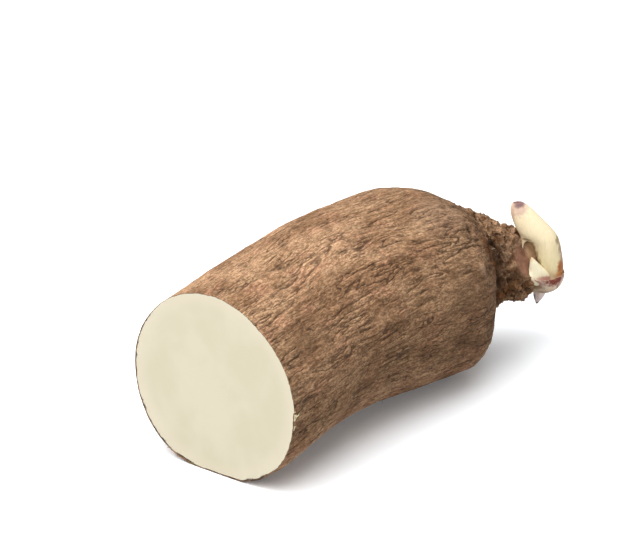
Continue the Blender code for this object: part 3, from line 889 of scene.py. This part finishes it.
settled(scale, young_skin("Scale skin", (0.84, 0.76, 0.54), (0.88, 0.82, 0.60), -6, 0, (
    ((16.2, -14, 6.9), (1.6, 4, 1.8), 0.6, 0.55, (0.78, 0.55, 0.33)),
    ((13.2, -17.0, -5.2), (3.4, 6, 2.8), 0.9, 0.90, (0.74, 0.46, 0.36)),
    ((23.5, -14, -4.6), (4.5, 5, 1.4), 1.0, 0.85, (0.62, 0.30, 0.25)),
), 0.45))
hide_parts("bud_scale")
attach(scale, "root")


# The side bud. A small second shoot under the first, still shut in grey-lilac scales that come to
# a dark point.
BUD_OUT, BUD_ACROSS = 21.2 * MM, -4.4 * MM
FOLDS, FOLD_DEPTH = 5, 0.10
BUD = (  # rows as for the shoot
    (22.0, -4.0, -11.5, 2.8, 2.4, -90), (21.8, -4.4, -13.8, 3.6, 2.9, -90),
    (21.6, -4.4, -15.8, 3.6, 3.0, -90), (21.5, -4.4, -17.4, 3.5, 2.8, -90),
    (21.2, -4.4, -19.3, 3.0, 2.4, -90), (20.9, -4.4, -21.1, 2.1, 1.7, -92),
    (20.6, -4.4, -22.6, 1.2, 1.0, -94), (20.4, -4.4, -23.8, 0.5, 0.5, -95),
)
bud = grown("side_bud_skin", BUD, 16)
bm = bmesh.from_edit_mesh(bud.data)
for vertex in bm.verts:
    out, across = vertex.co.x - BUD_OUT, vertex.co.y - BUD_ACROSS
    fold = 1.0 + FOLD_DEPTH * math.cos(FOLDS * math.atan2(across, out) + 0.6)
    vertex.co.x = BUD_OUT + out * fold
    vertex.co.y = BUD_ACROSS + across * fold
bmesh.update_edit_mesh(bud.data)
closed(bud)
bpy.ops.object.mode_set(mode="OBJECT")
smooth(bud, 2)
settled(bud, young_skin("Bud skin", (0.66, 0.55, 0.53), (0.74, 0.60, 0.53), -22, -16, (
    ((24.0, -6, -17.5), (2.2, 5, 4.5), 0.8, 0.85, (0.82, 0.70, 0.66)),
    # Painted shade: the bud's top is darkened where it sits in the gap under the torn sheath.
    ((20.6, -7, -14.2), (3.6, 5, 1.9), 1.3, 0.85, (0.22, 0.135, 0.095)),
    ((20.5, -5, -23.6), (1.3, 4, 1.5), 0.6, 0.90, (0.085, 0.065, 0.070)),
    ((18.6, -6, -19.5), (1.0, 4, 3.5), 0.8, 0.60, (0.23, 0.18, 0.20)),
), 0.55))
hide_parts("side_bud")
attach(bud, "root")


# The floor, the light and the camera. The tuber lies on a round, pale, matt floor with a white
# backdrop, both set to shine a little more for the camera alone, so that they meet in one white.
# Two large soft lamps hang over it, one before the cut face and one above and behind.
FLOOR_RADIUS = 1.05
FLOOR_COLOUR, FLOOR_SEEN, FLOOR_GLOW = (0.58, 0.58, 0.58), (0.890, 0.908, 0.925), 0.11
BACKDROP_LIGHT, BACKDROP_SEEN = 0.25, 0.75
bpy.ops.mesh.primitive_circle_add(
    vertices=96, radius=FLOOR_RADIUS, fill_type="NGON", location=(0, 0, -0.2 * MM),
)
floor = bpy.context.active_object
floor.name = "floor"
pale, tree, shader = finish("Pale floor")
seen = tree.nodes.new("ShaderNodeLightPath").outputs["Is Camera Ray"]
tree.links.new(tint(tree, seen, FLOOR_COLOUR, FLOOR_SEEN), shader.inputs["Base Color"])
shader.inputs["Roughness"].default_value = 0.9
shader.inputs["Specular IOR Level"].default_value = 0.0
shader.inputs["Emission Color"].default_value = (1, 1, 1, 1)
tree.links.new(reckon(tree, "MULTIPLY", seen, FLOOR_GLOW), shader.inputs["Emission Strength"])
floor.data.materials.append(pale)

world = bpy.data.worlds.new("Studio")
world.use_nodes = True
tree = world.node_tree
backdrop = tree.nodes["Background"]
backdrop.inputs["Color"].default_value = (1, 1, 1, 1)
seen = tree.nodes.new("ShaderNodeLightPath").outputs["Is Camera Ray"]
strength = reckon(tree, "MULTIPLY_ADD", seen, BACKDROP_SEEN, BACKDROP_LIGHT)
tree.links.new(strength, backdrop.inputs["Strength"])
bpy.context.scene.world = world


def soft_lamp(name, place, size, power):
    """A round area light that faces the middle of the tuber."""
    bpy.ops.object.light_add(type="AREA", location=place)
    light = bpy.context.active_object
    light.name = name
    light.data.shape = "DISK"
    light.data.size = size
    light.data.energy = power
    light.rotation_euler = (Vector((0, 0, 0.05)) - Vector(place)).to_track_quat("-Z", "Y").to_euler()


soft_lamp("key_light", (-0.97, 0.0, 1.3), 2.2, 40)
soft_lamp("top_light", (0.1, 0.30, 1.8), 3.0, 43)

bpy.ops.object.camera_add(location=(-0.916955, -0.701156, 0.510485))
camera = bpy.context.active_object
camera.rotation_euler = Vector((0.73166, 0.57989, -0.35837)).to_track_quat("-Z", "Y").to_euler()
camera.data.sensor_width = 36
camera.data.lens = 130.62
camera.data.clip_start = 0.01
bpy.context.scene.camera = camera
bpy.context.scene.view_settings.view_transform = "Standard"
